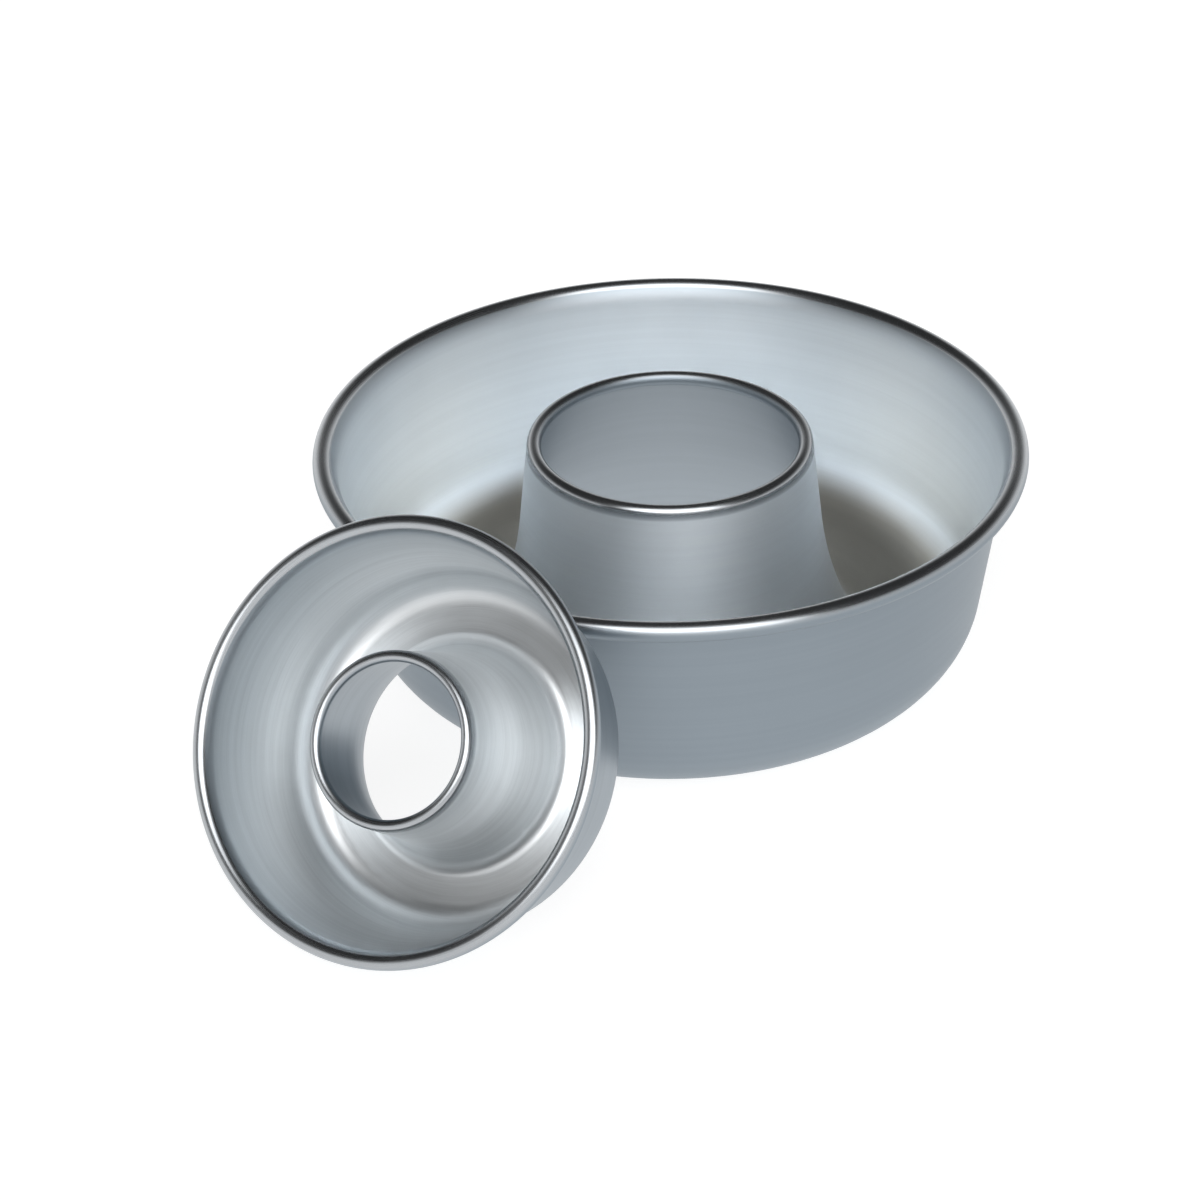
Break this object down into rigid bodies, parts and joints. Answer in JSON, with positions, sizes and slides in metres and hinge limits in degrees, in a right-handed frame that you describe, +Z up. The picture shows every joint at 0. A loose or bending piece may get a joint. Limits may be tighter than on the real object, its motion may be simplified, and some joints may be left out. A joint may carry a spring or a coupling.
{
  "type": "angel food cake pan",
  "caption": "Round ring pans for angel food cake with open centre tubes and rolled rims, the smaller one leaning on the rim of the larger one.",
  "frame": {"origin": "on the surface that the pans stand on, under the middle of the box around both pans", "axes": "+Z up out of the large pan's mouth; +Y is the direction in which the picture looks, so the small pan leans at -Y and -X of the large one"},
  "size_m": [0.3024, 0.3722, 0.1399],
  "materials": {
    "anodised_aluminium": "satin anodised, fine circular spin lines"
  },
  "bodies": {
    "large_pan": {"large_pan": "anodised_aluminium"},
    "small_pan": {"small_pan": "anodised_aluminium"}
  },
  "joints": [
    {"name": "small_pan_lift", "type": "slide", "parent": "large_pan", "child": "small_pan", "axis": [0, 0, 1], "range_m": [0, 0.12]}
  ]
}
